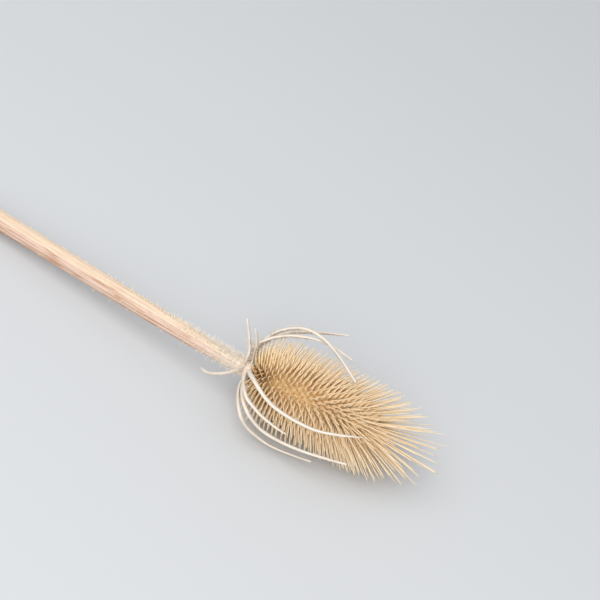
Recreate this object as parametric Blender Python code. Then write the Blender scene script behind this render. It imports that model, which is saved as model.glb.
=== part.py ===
"""A dried teasel seed head with its cut stem, lying on a surface.

The head's axis runs along +X and the stem comes to it from -X. The head rests on the tips of its lowest
spines and the stem on the edge of its cut end. Places on the head are given as a distance along its axis
from the neck, a distance from the axis, and an angle from straight up that turns towards -Y.
"""

import math
import random

import bmesh
import bpy
import numpy as np
from mathutils import Matrix, Vector, geometry, kdtree

MM = 0.001
GAP = 0.3 * MM

# The core of the head, an egg shape that is fullest a little below its middle.
CORE_LENGTH = 48 * MM
CORE_RADIUS = 6.5 * MM
CORE_BASE_START = 0.045
CORE_SKEW = 0.8
CORE_FULLNESS = 0.6
CORE_BASE_CORNERS = 12
CORE_STEPS = 600
STRIP_TOP_RADIUS = 0.02 * MM

# The head's axis is this high, so that the tips of the lowest spines press on the surface.
AXIS_HEIGHT = 16.0 * MM

# The scales, each with its spine, stand in one spiral that turns by the golden angle.
SPINES = 800
FIRST_SPINE_AT = 1.1 * MM
LAST_SPINE_BELOW = 1.2 * MM
GOLDEN_ANGLE = math.pi * (3 - math.sqrt(5))
SCALE_RADIUS = 0.55 * MM
SCALE_HEIGHT = 2.4 * MM
SPINE_RADIUS = 0.27 * MM
SPINE_LIFT = 0.4
SPINE_LEAN_JITTER = 2.0
SPINE_LENGTH_JITTER = 0.05

# Along the core from neck (0) to top (1): how far the spines lean from the head's axis, and their length.
SPINE_STATIONS = (0.0, 0.05, 0.1, 0.2, 0.3, 0.4, 0.5, 0.65, 0.8, 0.9, 0.96, 1.0)
SPINE_LEANS = (104, 97, 89, 81, 77, 73, 68, 61, 48, 34, 20, 0)
SPINE_LENGTHS = (7.0, 9.2, 10.8, 11.2, 11.2, 11.1, 11.6, 13.0, 16.5, 19.2, 22.5, 27.5)

# The stem, from its cut end to the neck.
STEM_REACH = 140 * MM
STEM_SIDESTEP = 28 * MM
STEM_RADIUS = 3.5 * MM
STEM_MIDDLE_RADIUS = 3.2 * MM
STEM_NECK_RADIUS = 2.6 * MM
STEM_RIBS = 10
STEM_RIB_DEPTH = 0.07
STEM_RINGS = 16
STEM_STRAIGHT = 0.62
STEM_LEVEL_END = 17 * MM
COLLAR_RADIUS = 3.3 * MM
COLLAR_CYLINDER = 4.2 * MM
COLLAR_LENGTH = 5.2 * MM
NECK_LENGTH = 8.0 * MM
STEM_MIDDLE_FROM = 50 * MM
STEM_ROUTE_STEPS = 200

# The prickles on the stem's ribs, closer together towards the head.
PRICKLES = 84
PRICKLE_ROOT = 0.5 * MM
PRICKLE_SINK = 0.35 * MM
PRICKLE_LENGTHS = (1.1 * MM, 2.0 * MM)
PRICKLE_ROOT_SHAPE = (1.3, 0.8)
PRICKLE_LEANS = (0.1, 0.5)
PRICKLE_CROWDING = 0.62
PRICKLE_END_MARGIN = 0.05

# The bracts are narrow blades, widest a little past the root.
BRACT_ROOT_WIDTH = 1.5 * MM
BRACT_WIDTH = 1.9 * MM
BRACT_TIP_WIDTH = 0.8 * MM
BRACT_WIDEST_AT = 0.22
BRACT_THICKNESS = 0.8 * MM
BRACT_TIP_THICKNESS = 0.6 * MM
BRACT_STATION_EVERY = 2.3 * MM
BRACT_TOOTH = 0.5 * MM
BRACT_TOOTH_EVERY = 3
BRACT_CHECK_EVERY = 0.7 * MM
BRACT_CLEARANCE = 1.7 * MM
SHORTENING = 0.95
SHORTEST_SPINE = 1.2 * SCALE_HEIGHT
CHECKED_SHARES = (0.4, 0.55, 0.7, 0.8, 0.9, 1.0)
ROUTE_STEPS = 20

# Each bract's route out of the collar and round the head. A point is its distance along the axis and
# from it, in mm, and its angle from straight up, in degrees.
BRACT_ROUTES = (
    ((-0.75, 3.65, 50), (-0.2, 6.5, 50), (0.9, 10.0, 52), (3.0, 13.5, 54), (5.5, 15.9, 58),
     (8.0, 17.0, 62), (10.1, 17.7, 65), (14.0, 18.3, 69), (21.3, 18.5, 72), (29.6, 18.3, 72),
     (37.2, 18.0, 66), (45.0, 17.2, 57)),
    ((-0.8, 3.65, 112), (-0.6, 6.8, 101), (0.5, 10.4, 92), (2.0, 13.5, 89), (3.3, 15.6, 89),
     (5.3, 17.4, 91), (7.6, 18.3, 96), (12.6, 18.7, 107), (20.0, 19.0, 110), (28.6, 18.8, 108),
     (38.3, 18.3, 101), (44.1, 17.8, 97)),
    ((-1.95, 3.65, 84), (-0.9, 7.0, 80), (0.5, 11.0, 76), (2.0, 14.2, 75), (3.1, 15.8, 76),
     (4.6, 17.0, 78), (7.3, 17.8, 81), (11.0, 18.3, 86), (17.0, 18.4, 92), (21.3, 18.4, 94)),
    ((-1.95, 3.65, 140), (-1.8, 6.2, 125), (-1.0, 9.0, 113), (0.2, 12.0, 105), (1.5, 14.6, 102),
     (3.1, 17.0, 101), (4.9, 18.7, 104), (8.7, 19.4, 117), (15.6, 20.2, 128), (21.8, 20.1, 128),
     (29.1, 19.7, 121), (32.4, 19.5, 118)),
    ((-3.4, 3.65, -30), (-3.2, 8.2, -36), (-0.4, 12.2, -42), (3.3, 15.4, -49), (7.2, 17.4, -45),
     (14.4, 19.6, -42), (21.2, 20.0, -40), (29.7, 18.8, -36)),
    ((-1.5, 3.65, -58), (-2.4, 9.5, -60), (-0.2, 15.2, -60), (3.6, 19.0, -57), (8.6, 21.1, -48),
     (13.7, 21.6, -42), (18.6, 20.8, -38), (22.9, 19.8, -28), (27.4, 19.4, -14), (35.0, 18.8, 5)),
    ((-3.4, 3.65, -86), (-3.8, 9.5, -84), (-0.4, 16.2, -78), (5.2, 20.6, -71), (13.4, 24.0, -66),
     (23.7, 27.6, -63)),
    ((-3.4, 3.65, 52), (-4.8, 7.2, 63), (-8.0, 10.2, 74), (-12.2, 12.6, 78), (-15.2, 14.2, 72)),
    ((-1.5, 3.65, -114), (-2.4, 9.5, -112), (0.8, 15.6, -108), (7.0, 18.9, -104), (16.0, 19.6, -100),
     (27.0, 19.1, -98), (36.0, 18.2, -97)),
    ((-3.4, 3.65, -142), (-3.8, 8.8, -138), (0.2, 14.6, -130), (7.0, 18.3, -124), (15.0, 19.1, -120),
     (24.0, 18.8, -117)),
    ((-3.4, 3.65, 0), (-3.6, 8.5, -4), (-5.8, 14.0, -8), (-8.4, 19.0, -10)),
    ((-1.5, 3.65, -15), (-2.0, 7.5, -14), (-2.2, 10.5, -12), (-3.0, 14.0, -9), (-4.6, 17.0, -9)),
)

SEED = 7


def remove_all_objects():
    for thing in list(bpy.data.objects):
        bpy.data.objects.remove(thing, do_unlink=True)


def make_material(name, colour, roughness):
    material = bpy.data.materials.new(name)
    material.use_nodes = True
    shader = material.node_tree.nodes["Principled BSDF"]
    shader.inputs["Base Color"].default_value = (*colour, 1)
    shader.inputs["Roughness"].default_value = roughness
    shader.inputs["Metallic"].default_value = 0
    return material


def add_object(name, mesh, material):
    """Makes an object of a bmesh, with its faces pointing out."""
    bmesh.ops.recalc_face_normals(mesh, faces=mesh.faces)
    data = bpy.data.meshes.new(name)
    mesh.to_mesh(data)
    mesh.free()
    data.materials.append(material)
    made = bpy.data.objects.new(name, data)
    bpy.context.scene.collection.objects.link(made)
    return made


def radial(angle):
    """The unit vector out of the head's axis at an angle from straight up."""
    return Vector((0, -math.sin(angle), math.cos(angle)))


def core_radius(along):
    """The core's radius at a share of its length from the neck."""
    turn = CORE_BASE_START + (1 - CORE_BASE_START) * along
    return CORE_RADIUS * max(math.sin(math.pi * turn**CORE_SKEW), 0) ** CORE_FULLNESS


def core_places(count):
    """Shares of the core's length that part its surface into equal bands, one for each spine."""
    along = np.linspace(0, 1, CORE_STEPS)
    radii = np.array([core_radius(share) for share in along])
    slant = np.hypot(np.diff(along) * CORE_LENGTH, np.diff(radii))
    band = slant * (radii[1:] + radii[:-1])
    area = np.concatenate(([0], np.cumsum(band)))
    ends = (FIRST_SPINE_AT / CORE_LENGTH, 1 - LAST_SPINE_BELOW / CORE_LENGTH)
    start, end = np.interp(ends, along, area)
    wanted = np.linspace(start, end, count)
    return np.interp(wanted, area, along)


def core_frame(along, angle):
    """A point on the core with its outward normal and the directions up the core and round it."""
    step = 0.5 / CORE_STEPS
    low, high = max(along - step, 0), min(along + step, 1)
    rise = core_radius(high) - core_radius(low)
    run = (high - low) * CORE_LENGTH
    outward = radial(angle)
    up_core = Vector((run, 0, 0)) + outward * rise
    up_core.normalize()
    point = Vector((along * CORE_LENGTH, 0, 0)) + outward * core_radius(along)
    round_core = Vector((1, 0, 0)).cross(outward)
    normal = round_core.cross(up_core)
    if normal.dot(outward) < 0:
        normal.negate()
    return point, normal, up_core, round_core


def onto_core(point):
    """Moves a point onto the core's surface, along the line from the core's middle."""
    middle = Vector((CORE_LENGTH / 2, 0, 0))
    ray = (point - middle).normalized()
    inside, outside = 0.0, CORE_LENGTH
    for _ in range(40):
        reach = (inside + outside) / 2
        spot = middle + ray * reach
        share = spot.x / CORE_LENGTH
        if 0 <= share <= 1 and math.hypot(spot.y, spot.z) < core_radius(share):
            inside = reach
        else:
            outside = reach
    return middle + ray * inside


def smooth_route(points, step_length):
    """Points at even steps along a smooth curve through the given points, and its direction at each."""
    padded = [2 * points[0] - points[1], *points, 2 * points[-1] - points[-2]]
    fine = []
    for a, b, c, d in zip(padded, padded[1:], padded[2:], padded[3:]):
        for step in range(ROUTE_STEPS):
            t = step / ROUTE_STEPS
            fine.append(
                0.5 * ((2 * b) + (c - a) * t + (2 * a - 5 * b + 4 * c - d) * t**2
                       + (3 * b - a - 3 * c + d) * t**3)
            )
    fine.append(points[-1])
    fine = np.array([list(point) for point in fine])
    travelled = np.concatenate(([0], np.cumsum(np.linalg.norm(np.diff(fine, axis=0), axis=1))))
    count = round(travelled[-1] / step_length) + 1
    wanted = np.linspace(0, travelled[-1], count)
    even = [Vector([np.interp(at, travelled, fine[:, axis]) for axis in range(3)]) for at in wanted]
    directions = []
    for index in range(count):
        ahead = even[min(index + 1, count - 1)]
        behind = even[max(index - 1, 0)]
        directions.append((ahead - behind).normalized())
    return even, directions


def bract_route(route, step_length):
    """A bract's middle line, its direction, and the direction of its width at each point."""
    corners = [
        Vector((x * MM, 0, 0)) + radial(math.radians(angle)) * (reach * MM) for x, reach, angle in route
    ]
    middles, directions = smooth_route(corners, step_length)
    widths = []
    for middle, direction in zip(middles, directions):
        outward = Vector((0, middle.y, middle.z)).normalized()
        round_head = Vector((1, 0, 0)).cross(outward)
        across = round_head - direction * round_head.dot(direction)
        widths.append(across.normalized())
    return middles, directions, widths


def spine_tip(random_draw, along, angle, root, bract_points):
    """The tip of the spine that grows at root: it clears the bracts and presses on the surface."""
    jitter = math.radians(SPINE_LEAN_JITTER)
    lean = math.radians(np.interp(along, SPINE_STATIONS, SPINE_LEANS)) + random_draw.gauss(0, jitter)
    swing = angle + random_draw.gauss(0, jitter)
    direction = Vector((math.cos(lean), 0, 0)) + radial(swing) * math.sin(lean)
    length = np.interp(along, SPINE_STATIONS, SPINE_LENGTHS) * MM
    length *= 1 + random_draw.uniform(-SPINE_LENGTH_JITTER, SPINE_LENGTH_JITTER)
    while length * SHORTENING > SHORTEST_SPINE:
        checked = (root + direction * length * share for share in CHECKED_SHARES)
        if all(bract_points.find(spot)[2] > BRACT_CLEARANCE for spot in checked):
            break
        length *= SHORTENING
    tip = root + direction * length
    tip.z = max(tip.z, -AXIS_HEIGHT)
    return direction, tip


def raise_spine(mesh, root_face, normal, direction, tip):
    """Replaces a small triangle of the core by a scale that narrows into a spine."""
    corners = list(root_face.verts)
    centre = sum((corner.co for corner in corners), Vector()) / 3
    scale_top = centre + (direction * (1 - SPINE_LIFT) + normal * SPINE_LIFT) * SCALE_HEIGHT
    narrowing = SPINE_RADIUS / SCALE_RADIUS
    neck = [mesh.verts.new(scale_top + (corner.co - centre) * narrowing) for corner in corners]
    point = mesh.verts.new(tip)
    mesh.faces.remove(root_face)
    for side in range(3):
        following = (side + 1) % 3
        mesh.faces.new((corners[side], corners[following], neck[following], neck[side]))
        mesh.faces.new((neck[side], neck[following], point))


def climb_table():
    """How far up a flat strip each share of the core's length lies, where small shapes keep their form."""
    along = np.linspace(0, 1, CORE_STEPS)
    radii = np.array([max(core_radius(share), STRIP_TOP_RADIUS) for share in along])
    slant = np.hypot(np.diff(along) * CORE_LENGTH, np.diff(radii))
    return along, np.concatenate(([0], np.cumsum(2 * slant / (radii[1:] + radii[:-1]))))


def strip_triangles(places):
    """Joins up places on the core into triangles.

    The core is unrolled into a flat strip, which is laid three times side by side, so that its edges meet.
    """
    table = climb_table()
    climbs = [float(np.interp(place.x / CORE_LENGTH, *table)) for place in places]
    turns = [math.atan2(-place.y, place.z) for place in places]
    count = len(places)
    flat = [
        Vector((round(climb, 7), turn + lap * 2 * math.pi))
        for lap in (0, -1, 1)
        for climb, turn in zip(climbs, turns)
    ]
    spots, _, triangles, sources, _, _ = geometry.delaunay_2d_cdt(flat, [], [], 0, 0)
    kept = []
    for triangle in triangles:
        middle = sum(spots[corner].y for corner in triangle) / 3
        if -math.pi <= middle < math.pi:
            kept.append([sources[corner][0] % count for corner in triangle])
    return kept


def scale_roots():
    """Each scale's place on the core, from the neck up, ending in one at the very top."""
    roots = []
    for index, along in enumerate(core_places(SPINES - 1)):
        angle = index * GOLDEN_ANGLE
        point, normal, up_core, round_core = core_frame(along, angle)
        roots.append((along, angle, point, normal, up_core, round_core))
    top = Vector((CORE_LENGTH, 0, 0))
    roots.append((1.0, 0.0, top, Vector((1, 0, 0)), radial(0), radial(math.pi / 2)))
    return roots


def make_seed_head(material, bract_points):
    """The core with all its scales and spines, as one body."""
    random_draw = random.Random(SEED)
    roots = scale_roots()
    places = []
    for _, _, point, _, up_core, round_core in roots:
        for corner in range(3):
            turn = corner * 2 * math.pi / 3
            offset = up_core * math.cos(turn) + round_core * math.sin(turn)
            places.append(onto_core(point + offset * SCALE_RADIUS))
    for corner in range(CORE_BASE_CORNERS):
        places.append(radial(corner * 2 * math.pi / CORE_BASE_CORNERS) * core_radius(0))

    mesh = bmesh.new()
    corners = [mesh.verts.new(place) for place in places]
    top_root = {3 * SPINES - 3, 3 * SPINES - 2, 3 * SPINES - 1}
    for triangle in strip_triangles(places):
        if set(triangle) != top_root:
            mesh.faces.new([corners[index] for index in triangle])
    mesh.faces.new([corners[index] for index in sorted(top_root)])
    mesh.faces.new(corners[-CORE_BASE_CORNERS:])
    bmesh.ops.triangulate(mesh, faces=mesh.faces)
    bmesh.ops.recalc_face_normals(mesh, faces=mesh.faces)
    for index, (along, angle, point, normal, _, _) in enumerate(roots):
        root_face = mesh.faces.get(corners[3 * index : 3 * index + 3])
        direction, tip = spine_tip(random_draw, along, angle, point, bract_points)
        raise_spine(mesh, root_face, normal, direction, tip)
    bmesh.ops.triangulate(mesh, faces=mesh.faces)
    return add_object("seed_head", mesh, material)


def bract_width(share):
    """A bract's width at a share of its length."""
    return np.interp(
        share, (0, BRACT_WIDEST_AT, 1), (BRACT_ROOT_WIDTH, BRACT_WIDTH, BRACT_TIP_WIDTH)
    )


def make_bract(number, route, material):
    """A narrow blade with a raised middle, and teeth that alternate on its edges."""
    middles, directions, widths = bract_route(route, BRACT_STATION_EVERY)
    last = len(middles) - 1
    mesh = bmesh.new()
    rings = []
    for index, (middle, direction, across) in enumerate(zip(middles, directions, widths)):
        share = index / last
        half_width = bract_width(share) / 2
        half_thick = (BRACT_THICKNESS + (BRACT_TIP_THICKNESS - BRACT_THICKNESS) * share) / 2
        face_out = direction.cross(across)
        left = right = half_width
        inner = 0 < index < last
        if inner and index % BRACT_TOOTH_EVERY == 1:
            left += BRACT_TOOTH
        if inner and index % BRACT_TOOTH_EVERY == 2:
            right += BRACT_TOOTH
        corners = (across * left, face_out * half_thick, -across * right, -face_out * half_thick)
        rings.append([mesh.verts.new(middle + corner) for corner in corners])
    for lower, upper in zip(rings, rings[1:]):
        for side in range(4):
            following = (side + 1) % 4
            mesh.faces.new((lower[side], lower[following], upper[following], upper[side]))
    mesh.faces.new(reversed(rings[0]))
    mesh.faces.new(rings[-1])
    bmesh.ops.triangulate(mesh, faces=mesh.faces)
    return add_object(f"bract_{number:02d}", mesh, material)


def stem_route(count):
    """Points from the cut end to the neck, with the stem's direction at each."""
    neck = Vector((-GAP, 0, 0))
    cut = Vector((-STEM_REACH, STEM_SIDESTEP, STEM_RADIUS * (1 + STEM_RIB_DEPTH) - AXIS_HEIGHT))
    straight = cut.lerp(neck, STEM_STRAIGHT)
    level = neck - Vector((STEM_LEVEL_END, 0, 0))
    shares = [index / (count - 1) for index in range(count)]
    points, directions = [], []
    for t in shares:
        u = 1 - t
        points.append(u**3 * cut + 3 * u**2 * t * straight + 3 * u * t**2 * level + t**3 * neck)
        along = u**2 * (straight - cut) + 2 * u * t * (level - straight) + t**2 * (neck - level)
        directions.append(along.normalized())
    return points, directions


def stem_shape(to_neck):
    """The stem's radius and the depth of its ribs at a distance from the neck."""
    stations = (0, COLLAR_CYLINDER, COLLAR_LENGTH, NECK_LENGTH, STEM_MIDDLE_FROM, STEM_REACH)
    radii = (
        COLLAR_RADIUS, COLLAR_RADIUS, STEM_NECK_RADIUS, STEM_NECK_RADIUS, STEM_MIDDLE_RADIUS, STEM_RADIUS
    )
    depths = (0, 0, 0, STEM_RIB_DEPTH, STEM_RIB_DEPTH, STEM_RIB_DEPTH)
    return np.interp(to_neck, stations, radii), np.interp(to_neck, stations, depths)


def stem_frames():
    """Rings along the stem: the middle, side and top of each, and how far it is from the neck."""
    points, directions = stem_route(STEM_ROUTE_STEPS)
    travelled = [0.0]
    for before, after in zip(points, points[1:]):
        travelled.append(travelled[-1] + (after - before).length)
    whole = travelled[-1]
    evenly = list(np.linspace(0, whole - NECK_LENGTH, STEM_RINGS))
    near_neck = [whole - COLLAR_LENGTH, whole - COLLAR_CYLINDER, whole]
    frames = []
    for at in evenly + near_neck:
        index = int(np.argmin([abs(place - at) for place in travelled]))
        direction = directions[index]
        side = direction.cross(Vector((0, 0, 1))).normalized()
        top = side.cross(direction)
        frames.append((points[index], side, top, whole - travelled[index]))
    return frames


def stem_corner(frame, corner):
    """A corner of the stem's outline: even corners are on ribs and odd ones in grooves."""
    middle, side, top, to_neck = frame
    radius, depth = stem_shape(to_neck)
    reach = radius * (1 + depth if corner % 2 == 0 else 1 - depth)
    turn = math.pi * corner / STEM_RIBS
    return middle + (side * math.sin(turn) - top * math.cos(turn)) * reach


def make_prickle(name, root, outward, along, length, collection):
    """A three-sided prickle, sunk into the stem."""
    across = outward.cross(along).normalized()
    lengthwise = across.cross(outward)
    mesh = bmesh.new()
    corners = []
    for corner in range(3):
        turn = corner * 2 * math.pi / 3
        offset = lengthwise * math.cos(turn) * PRICKLE_ROOT_SHAPE[0]
        offset += across * math.sin(turn) * PRICKLE_ROOT_SHAPE[1]
        corners.append(mesh.verts.new(root - outward * PRICKLE_SINK + offset * PRICKLE_ROOT))
    tip = mesh.verts.new(root + outward * length)
    for side in range(3):
        mesh.faces.new((corners[side], corners[(side + 1) % 3], tip))
    mesh.faces.new(reversed(corners))
    bmesh.ops.recalc_face_normals(mesh, faces=mesh.faces)
    data = bpy.data.meshes.new(name)
    mesh.to_mesh(data)
    mesh.free()
    prickle = bpy.data.objects.new(name, data)
    collection.objects.link(prickle)


def add_prickles(stem, frames):
    """Fuses prickles to the stem's ribs by one Boolean union."""
    random_draw = random.Random(SEED)
    collection = bpy.data.collections.new("prickles")
    bpy.context.scene.collection.children.link(collection)
    for index in range(PRICKLES):
        crowded = ((index + 0.5) / PRICKLES) ** PRICKLE_CROWDING
        place = (PRICKLE_END_MARGIN + (1 - 2 * PRICKLE_END_MARGIN) * crowded) * (STEM_RINGS - 1)
        rib = (index * 3 + random_draw.randrange(2)) % STEM_RIBS * 2
        before = frames[int(place)]
        after = frames[int(place) + 1]
        low, high = stem_corner(before, rib), stem_corner(after, rib)
        root = low.lerp(high, place - int(place))
        axis_point = before[0].lerp(after[0], place - int(place))
        along = (high - low).normalized()
        outward = (root - axis_point).normalized()
        lean = (outward - along * random_draw.uniform(*PRICKLE_LEANS)).normalized()
        length = random_draw.uniform(*PRICKLE_LENGTHS)
        tip_height = (root + lean * length).z + AXIS_HEIGHT
        if tip_height > GAP:
            make_prickle(f"prickle_{index}", root, lean, along, length, collection)
    union = stem.modifiers.new("prickles", "BOOLEAN")
    union.operation = "UNION"
    union.operand_type = "COLLECTION"
    union.collection = collection
    union.solver = "MANIFOLD"
    bpy.context.view_layer.objects.active = stem
    bpy.ops.object.modifier_apply(modifier=union.name)
    for prickle in list(collection.objects):
        bpy.data.objects.remove(prickle, do_unlink=True)
    bpy.data.collections.remove(collection)


def make_stem(material):
    """The ribbed stem with its collar and prickles."""
    frames = stem_frames()
    mesh = bmesh.new()
    corners = 2 * STEM_RIBS
    rings = []
    for frame in frames:
        rings.append([mesh.verts.new(stem_corner(frame, corner)) for corner in range(corners)])
    for lower, upper in zip(rings, rings[1:]):
        for side in range(corners):
            following = (side + 1) % corners
            mesh.faces.new((lower[side], lower[following], upper[following], upper[side]))
    mesh.faces.new(reversed(rings[0]))
    mesh.faces.new(rings[-1])
    stem = add_object("stem", mesh, material)
    add_prickles(stem, frames)
    return stem


def centre_on_surface(objects):
    """Moves everything so that it lies on the surface, with the middle of its outer box over the origin."""
    corners = np.array([vertex.co[:] for thing in objects for vertex in thing.data.vertices])
    low, high = corners.min(axis=0), corners.max(axis=0)
    shift = Matrix.Translation((-(low[0] + high[0]) / 2, -(low[1] + high[1]) / 2, -low[2]))
    for thing in objects:
        thing.data.transform(shift)
        thing.data.update()


def main():
    remove_all_objects()
    straw = make_material("straw", (0.72, 0.5, 0.24), 0.75)
    pale_straw = make_material("pale straw", (0.82, 0.7, 0.54), 0.7)
    dry_stalk = make_material("dry stalk", (0.74, 0.58, 0.44), 0.8)

    bracts = [make_bract(number, route, pale_straw) for number, route in enumerate(BRACT_ROUTES, 1)]
    lines = [bract_route(route, BRACT_CHECK_EVERY)[0] for route in BRACT_ROUTES]
    bract_points = kdtree.KDTree(sum(len(line) for line in lines))
    for index, point in enumerate(point for line in lines for point in line):
        bract_points.insert(point, index)
    bract_points.balance()

    head = make_seed_head(straw, bract_points)
    stem = make_stem(dry_stalk)
    centre_on_surface([stem, head, *bracts])


main()
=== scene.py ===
"""Dresses the teasel seed head: fine scales with long awns, a striped prickly stem and curved bracts.

Places on the head are given as a distance along its axis from the neck, a distance from the axis, and an
angle from straight up that turns towards -Y, as they are in the part's own source.
"""

import math
import random

import bpy
import numpy as np
from bpy.props import FloatProperty, FloatVectorProperty, IntProperty, PointerProperty
from bpy.types import Operator, Panel, PropertyGroup
from mathutils import Matrix, Vector, kdtree, noise


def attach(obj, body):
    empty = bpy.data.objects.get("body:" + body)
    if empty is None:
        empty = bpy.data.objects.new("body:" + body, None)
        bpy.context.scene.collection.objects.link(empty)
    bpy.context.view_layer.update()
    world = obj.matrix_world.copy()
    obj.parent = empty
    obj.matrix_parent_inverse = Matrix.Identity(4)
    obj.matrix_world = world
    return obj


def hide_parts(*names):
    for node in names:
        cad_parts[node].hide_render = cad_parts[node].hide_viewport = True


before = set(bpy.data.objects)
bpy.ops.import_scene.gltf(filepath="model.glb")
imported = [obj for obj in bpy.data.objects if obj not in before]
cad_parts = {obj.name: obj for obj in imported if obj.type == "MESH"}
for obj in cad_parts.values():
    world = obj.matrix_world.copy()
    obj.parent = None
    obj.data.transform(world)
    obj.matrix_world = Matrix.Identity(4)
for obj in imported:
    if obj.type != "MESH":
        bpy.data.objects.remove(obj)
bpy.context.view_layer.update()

bl_info = {
    "name": "Teasel Seed Head",
    "version": (1, 0, 0),
    "blender": (4, 5, 0),
    "location": "3D View > Sidebar > Teasel",
    "description": "Dresses a teasel seed head with scales, awns, bracts, prickles and hairs",
    "category": "Object",
}

MM = 0.001
SEED = 7
UV_NAME = "OFBake"

# The core, the same egg shape as in the part's source.
CORE_LENGTH = 48 * MM
CORE_RADIUS = 6.5 * MM
CORE_BASE_START = 0.045
CORE_SKEW = 0.8
CORE_FULLNESS = 0.6
CORE_STEPS = 600
AXIS_HEIGHT = 16.0 * MM
FIRST_SCALE_AT = 0.5 * MM
LAST_SCALE_BELOW = 0.25 * MM

# The scales stand in rows that climb slowly round the core, six rows side by side, each row half a place
# past the one below. Nearer the ends of the core they shrink with its girth, down to a smallest ring.
ROW_STARTS = 6
SMALLEST_RING = 4.6 * MM
SHORTEST_AWN = 3.0 * MM

# Along the core from neck (0) to top (1): how far the awns lean from the head's axis, and their length.
AWN_STATIONS = (0.0, 0.05, 0.1, 0.2, 0.3, 0.4, 0.5, 0.65, 0.8, 0.9, 0.96, 1.0)
AWN_LEANS = (104, 97, 89, 81, 77, 73, 68, 61, 48, 34, 20, 0)
AWN_LENGTHS = (7.0, 9.2, 10.8, 11.2, 11.2, 11.1, 11.6, 13.0, 16.5, 19.2, 22.5, 27.5)

# The stem's route and shape, as in the part's source.
GAP = 0.3 * MM
STEM_REACH = 140 * MM
STEM_SIDESTEP = 28 * MM
STEM_RADIUS = 3.5 * MM
STEM_MIDDLE_RADIUS = 3.2 * MM
STEM_NECK_RADIUS = 2.6 * MM
STEM_RIBS = 10
STEM_RIB_DEPTH = 0.07
STEM_STRAIGHT = 0.62
STEM_LEVEL_END = 17 * MM
COLLAR_RADIUS = 3.3 * MM
COLLAR_CYLINDER = 4.2 * MM
COLLAR_LENGTH = 5.2 * MM
NECK_LENGTH = 8.0 * MM
STEM_MIDDLE_FROM = 50 * MM

# Each bract's route out of the collar and round the head: the distance along the axis and from it, in mm,
# and the angle from straight up, in degrees.
BRACT_ROUTES = (
    ((-0.75, 3.65, 50), (-0.2, 6.5, 50), (0.9, 10.0, 52), (3.0, 13.5, 54), (5.5, 15.9, 58),
     (8.0, 17.0, 62), (10.1, 17.7, 65), (14.0, 18.3, 69), (21.3, 18.5, 72), (29.6, 18.3, 72),
     (37.2, 18.0, 66), (45.0, 17.2, 57)),
    ((-0.8, 3.65, 112), (-0.6, 6.8, 101), (0.5, 10.4, 92), (2.0, 13.5, 89), (3.3, 15.6, 89),
     (5.3, 17.4, 91), (7.6, 18.3, 96), (12.6, 18.7, 107), (20.0, 19.0, 110), (28.6, 18.8, 108),
     (38.3, 18.3, 101), (44.1, 17.8, 97)),
    ((-1.95, 3.65, 84), (-0.9, 7.0, 80), (0.5, 11.0, 76), (2.0, 14.2, 75), (3.1, 15.8, 76),
     (4.6, 17.0, 78), (7.3, 17.8, 81), (11.0, 18.3, 86), (17.0, 18.4, 92), (21.3, 18.4, 94)),
    ((-1.95, 3.65, 140), (-1.8, 6.2, 125), (-1.0, 9.0, 113), (0.2, 12.0, 105), (1.5, 14.6, 102),
     (3.1, 17.0, 101), (4.9, 18.7, 104), (8.7, 19.4, 117), (15.6, 20.2, 128), (21.8, 20.1, 128),
     (29.1, 19.7, 121), (32.4, 19.5, 118)),
    ((-3.4, 3.65, -30), (-3.2, 8.2, -36), (-0.4, 12.2, -42), (3.3, 15.4, -49), (7.2, 17.4, -45),
     (14.4, 19.6, -42), (21.2, 20.0, -40), (29.7, 18.8, -36)),
    ((-1.5, 3.65, -58), (-2.4, 9.5, -60), (-0.2, 15.2, -60), (3.6, 19.0, -57), (8.6, 21.1, -48),
     (13.7, 21.6, -42), (18.6, 20.8, -38), (22.9, 19.8, -28), (27.4, 19.4, -14), (35.0, 18.8, 5)),
    ((-3.4, 3.65, -86), (-3.8, 9.5, -84), (-0.4, 16.2, -78), (5.2, 20.6, -71), (13.4, 24.0, -66),
     (23.7, 27.6, -63)),
    ((-3.4, 3.65, 52), (-4.8, 7.2, 63), (-8.0, 10.2, 74), (-12.2, 12.6, 78), (-15.2, 14.2, 72)),
    ((-1.5, 3.65, -114), (-2.4, 9.5, -112), (0.8, 15.6, -108), (7.0, 18.9, -104), (16.0, 19.6, -100),
     (27.0, 19.1, -98), (36.0, 18.2, -97)),
    ((-3.4, 3.65, -142), (-3.8, 8.8, -138), (0.2, 14.6, -130), (7.0, 18.3, -124), (15.0, 19.1, -120),
     (24.0, 18.8, -117)),
    ((-3.4, 3.65, 0), (-3.6, 8.5, -4), (-5.8, 14.0, -8), (-8.4, 19.0, -10)),
    ((-1.5, 3.65, -15), (-2.0, 7.5, -14), (-2.2, 10.5, -12), (-3.0, 14.0, -9), (-4.6, 17.0, -9)),
)

# These leave the collar upwards, with longer prickles on their first half.
PRICKLY_BRACTS = (5, 6, 7, 11, 12)


def neck_place():
    """Where the middle of the neck is in the frame: just past the end ring of the stem's collar."""
    corners = np.array([vertex.co[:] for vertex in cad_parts["stem"].data.vertices])
    ring = corners[corners[:, 0] > corners[:, 0].max() - 1e-5]
    middle = (ring.min(axis=0) + ring.max(axis=0)) / 2
    return Vector((middle[0] + GAP, middle[1], middle[2]))


NECK = neck_place()


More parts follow.
